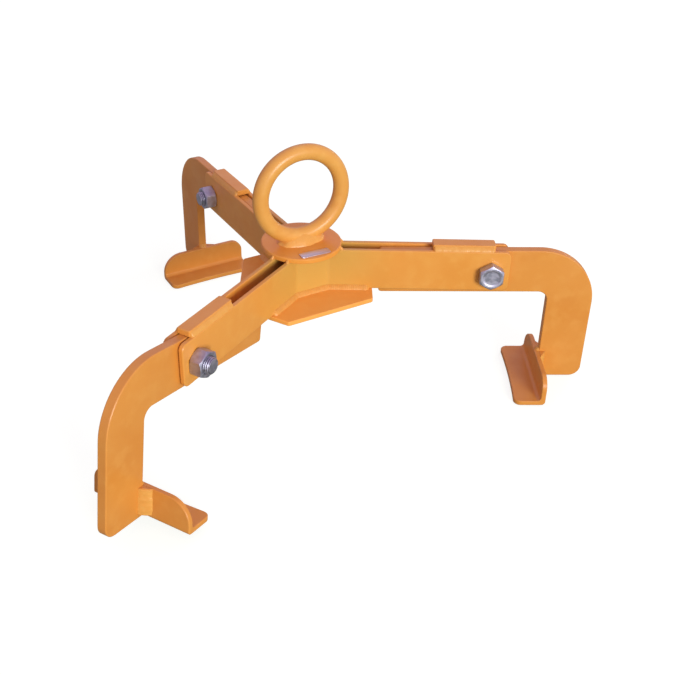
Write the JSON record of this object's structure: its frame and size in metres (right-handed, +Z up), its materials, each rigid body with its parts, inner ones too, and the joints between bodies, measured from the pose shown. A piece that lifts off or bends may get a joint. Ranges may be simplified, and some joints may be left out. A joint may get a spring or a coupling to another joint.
{
  "type": "drum clamp",
  "caption": "Lifting clamp for upright drums: a welded hub with a lifting ring, and on each arm a pivoted hook whose jaw pad grips the drum under its rim.",
  "frame": {"origin": "on the hub axis, on the underside of the base plate", "axes": "+Z up along the hub axis through the lifting ring, +X outward along arm a; arms b and c follow counter-clockwise seen from above"},
  "size_m": [0.6124, 0.6871, 0.3293],
  "materials": {
    "orange_paint": "satin enamel",
    "zinc_steel": "bright zinc plating",
    "bare_label": "matt foil"
  },
  "bodies": {
    "frame": {"base_plate": "orange_paint", "top_disc": "orange_paint", "lifting_ring": "orange_paint", "side_plate_ab": "orange_paint", "side_plate_bc": "orange_paint", "side_plate_ca": "orange_paint", "label_plate": "bare_label", "stop_strap_a": "orange_paint", "pivot_bolt_a": "zinc_steel", "pivot_nut_a": "zinc_steel", "stop_strap_b": "orange_paint", "pivot_bolt_b": "zinc_steel", "pivot_nut_b": "zinc_steel", "stop_strap_c": "orange_paint", "pivot_bolt_c": "zinc_steel", "pivot_nut_c": "zinc_steel"},
    "lever_a": {"hook_a": "orange_paint", "jaw_pad_a": "orange_paint"},
    "lever_b": {"hook_b": "orange_paint", "jaw_pad_b": "orange_paint"},
    "lever_c": {"hook_c": "orange_paint", "jaw_pad_c": "orange_paint"}
  },
  "joints": [
    {"name": "hook_swing_a", "type": "hinge", "parent": "frame", "child": "lever_a", "pos_m": [0.243, 0, 0.03], "axis": [0, -1, 0], "range_deg": [-1.7, 9.1]},
    {"name": "hook_swing_b", "type": "hinge", "parent": "frame", "child": "lever_b", "pos_m": [-0.1215, 0.21044, 0.03], "axis": [0.866, 0.5, 0], "range_deg": [-1.1, 9.7]},
    {"name": "hook_swing_c", "type": "hinge", "parent": "frame", "child": "lever_c", "pos_m": [-0.1215, -0.21044, 0.03], "axis": [-0.866, 0.5, 0], "range_deg": [-10.2, 0.6]}
  ]
}
